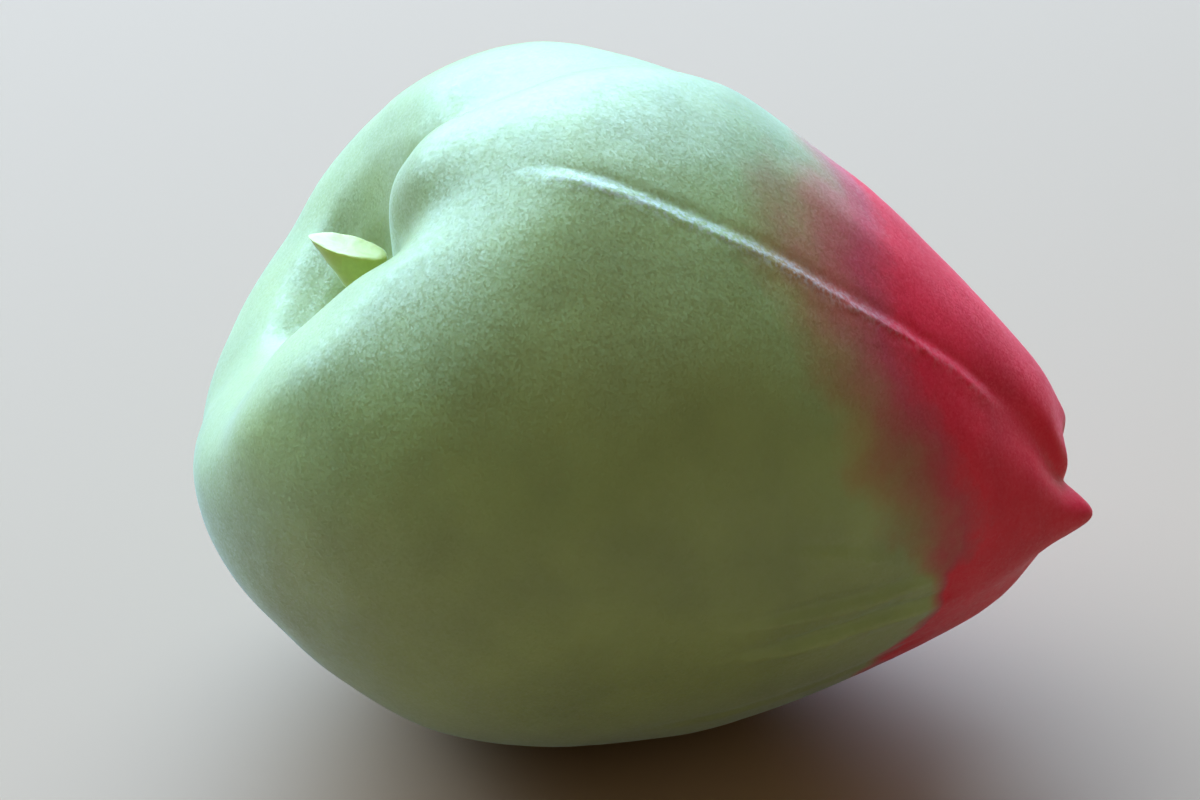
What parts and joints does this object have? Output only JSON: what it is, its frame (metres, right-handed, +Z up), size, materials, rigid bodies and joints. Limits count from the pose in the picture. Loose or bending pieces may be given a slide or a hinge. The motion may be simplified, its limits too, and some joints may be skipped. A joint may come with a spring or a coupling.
{
  "type": "flower bud wagashi",
  "caption": "Sweet of kneaded bean paste shaped as a closed flower bud lying on its side, with a dimpled base, a stem nub and a pinched tip.",
  "frame": {"origin": "centre of the bud's box, at the surface it lies on", "axes": "+X along the bud from its dimpled base to its pinched tip, +Z up"},
  "size_m": [0.051, 0.0406, 0.0399],
  "materials": {
    "bud": "matte green bean paste, shading to crimson at the tip",
    "stem": "matte yellow-green bean paste"
  },
  "bodies": {
    "root": {"bud": "bud", "stem": "stem"}
  },
  "joints": []
}
